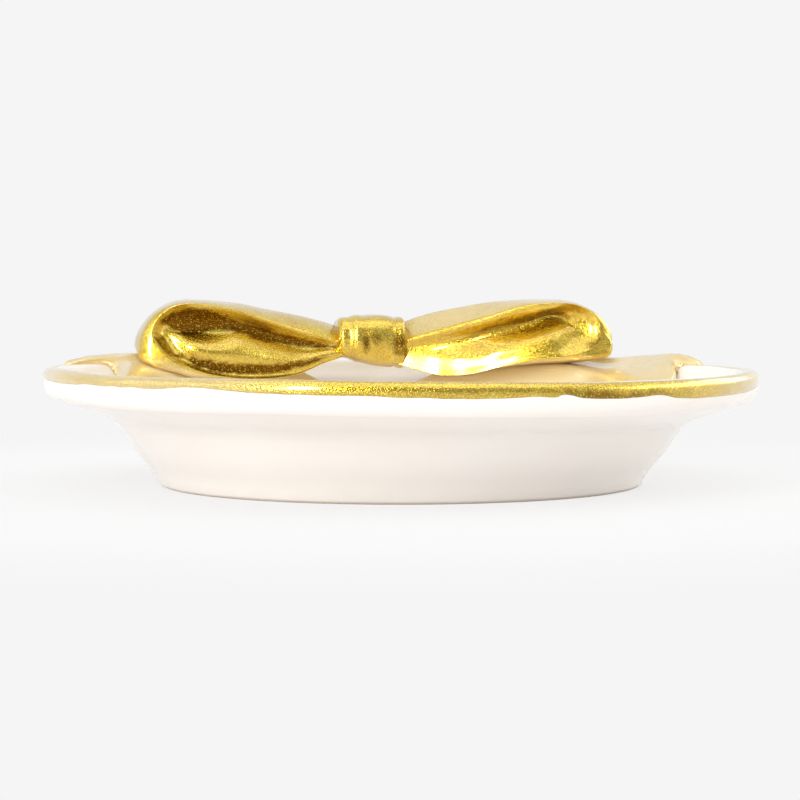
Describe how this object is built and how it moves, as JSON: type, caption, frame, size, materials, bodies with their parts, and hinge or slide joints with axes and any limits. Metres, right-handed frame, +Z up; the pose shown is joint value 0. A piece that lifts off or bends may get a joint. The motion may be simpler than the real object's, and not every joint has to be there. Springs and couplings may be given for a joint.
{
  "type": "trinket dish",
  "caption": "Round white glazed ceramic trinket dish with a flared gold-edged rim and a sculpted gold ribbon bow at its back.",
  "frame": {"origin": "centre of the foot ring, on the surface that the dish stands on", "axes": "+Z up along the dish's axis, +Y towards the bow at the back of the rim, +X to the bow's right seen from the front"},
  "size_m": [0.1288, 0.1288, 0.0335],
  "materials": {
    "white_glaze": "warm white gloss glaze",
    "gold_lustre": "bright metallic gold lustre, brushed on by hand over the glaze, finely grained"
  },
  "bodies": {
    "root": {"dish_body": "white_glaze", "rim_band": "gold_lustre", "bow_knot": "gold_lustre", "bow_loop_left": "gold_lustre", "bow_loop_right": "gold_lustre", "bow_tail_left": "gold_lustre", "bow_tail_right": "gold_lustre"}
  },
  "joints": []
}
